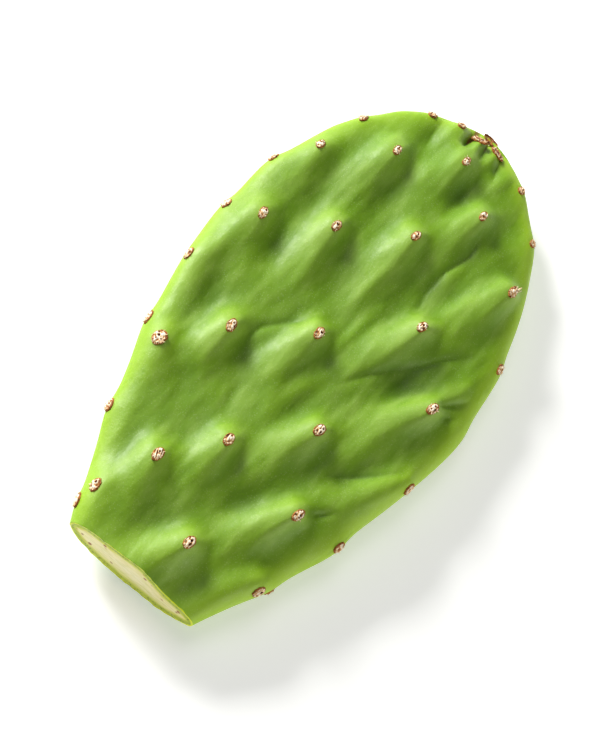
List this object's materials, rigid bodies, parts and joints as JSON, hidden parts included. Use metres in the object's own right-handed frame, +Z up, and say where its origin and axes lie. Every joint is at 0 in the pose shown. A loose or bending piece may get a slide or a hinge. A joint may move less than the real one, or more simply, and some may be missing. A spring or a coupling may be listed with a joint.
{
  "type": "prickly pear pad",
  "caption": "Oval prickly pear pad, cut straight across its narrow end and lying flat, with low tubercles tipped by felted areole cushions on both faces and the rim.",
  "frame": {"origin": "middle of the bottom of the bounding box, on the surface the pad lies on", "axes": "+Y from the cut end to the tip, +X to the right across the pad seen from above, +Z up out of the surface"},
  "size_m": [0.1106, 0.2074, 0.0244],
  "materials": {
    "pad_skin": "waxy satin, smooth, with a pale bloom",
    "areole_felt": "dry felt with short blunt bristles"
  },
  "bodies": {
    "root": {"areole_rim_01": "areole_felt", "areole_rim_02": "areole_felt", "areole_rim_03": "areole_felt", "areole_rim_04": "areole_felt", "areole_rim_05": "areole_felt", "areole_rim_06": "areole_felt", "areole_rim_07": "areole_felt", "areole_rim_08": "areole_felt", "areole_rim_09": "areole_felt", "areole_rim_10": "areole_felt", "areole_rim_11": "areole_felt", "areole_rim_12": "areole_felt", "areole_rim_13": "areole_felt", "areole_rim_14": "areole_felt", "areole_rim_15": "areole_felt", "areole_rim_16": "areole_felt", "areole_rim_17": "areole_felt", "areole_rim_18": "areole_felt", "areole_rim_19": "areole_felt", "areole_rim_20": "areole_felt", "areole_top_01": "areole_felt", "areole_top_02": "areole_felt", "areole_top_03": "areole_felt", "areole_top_04": "areole_felt", "areole_top_05": "areole_felt", "areole_top_06": "areole_felt", "areole_top_07": "areole_felt", "areole_top_08": "areole_felt", "areole_top_09": "areole_felt", "areole_top_10": "areole_felt", "areole_top_11": "areole_felt", "areole_top_12": "areole_felt", "areole_top_13": "areole_felt", "areole_top_14": "areole_felt", "areole_top_15": "areole_felt", "areole_top_16": "areole_felt", "areole_top_17": "areole_felt", "areole_top_18": "areole_felt", "areole_top_19": "areole_felt", "areole_top_20": "areole_felt", "areole_top_21": "areole_felt", "areole_top_22": "areole_felt", "areole_under_01": "areole_felt", "areole_under_02": "areole_felt", "areole_under_03": "areole_felt", "areole_under_04": "areole_felt", "areole_under_05": "areole_felt", "areole_under_06": "areole_felt", "areole_under_07": "areole_felt", "areole_under_08": "areole_felt", "areole_under_09": "areole_felt", "areole_under_10": "areole_felt", "areole_under_11": "areole_felt", "areole_under_12": "areole_felt", "areole_under_13": "areole_felt", "areole_under_14": "areole_felt", "areole_under_15": "areole_felt", "areole_under_16": "areole_felt", "pad": "pad_skin"}
  },
  "joints": []
}
